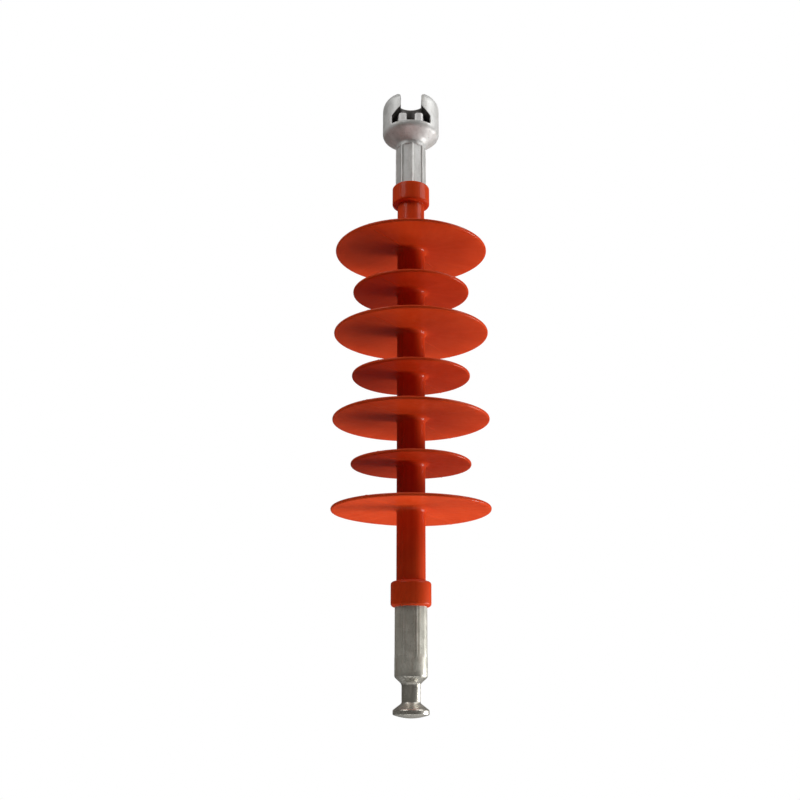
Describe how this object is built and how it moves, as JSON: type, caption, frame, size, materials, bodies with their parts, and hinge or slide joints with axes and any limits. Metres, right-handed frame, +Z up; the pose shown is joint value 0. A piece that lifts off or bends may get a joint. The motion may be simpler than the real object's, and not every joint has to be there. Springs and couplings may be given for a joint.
{
  "type": "composite insulator",
  "caption": "Long-rod composite insulator: glass fibre rod in a silicone rubber housing with alternating large and small sheds, a socket cap above and a ball end below.",
  "frame": {"origin": "centre of the ball seat inside the upper socket, on the long axis", "axes": "+Z up along the rod, out through the socket's throat; a ball is slid into the socket from the -Y side; +Y is the way the locking clip is pulled back"},
  "size_m": [0.15, 0.15, 0.619],
  "materials": {
    "glass_fibre": "smooth resin-bonded glass fibre",
    "silicone": "smooth moulded silicone rubber, semi-gloss",
    "galvanised_cap": "hot-dip galvanised forging, bright",
    "galvanised_ball": "hot-dip galvanised forging, darker and mottled",
    "stainless": "bent stainless strip"
  },
  "bodies": {
    "insulator": {"core_rod": "glass_fibre", "housing": "silicone", "socket_fitting": "galvanised_cap", "ball_fitting": "galvanised_ball"},
    "clip": {"locking_clip": "stainless"}
  },
  "joints": [
    {"name": "clip_slide", "type": "slide", "parent": "insulator", "child": "clip", "axis": [0, 1, 0], "range_m": [0, 0.014]}
  ]
}
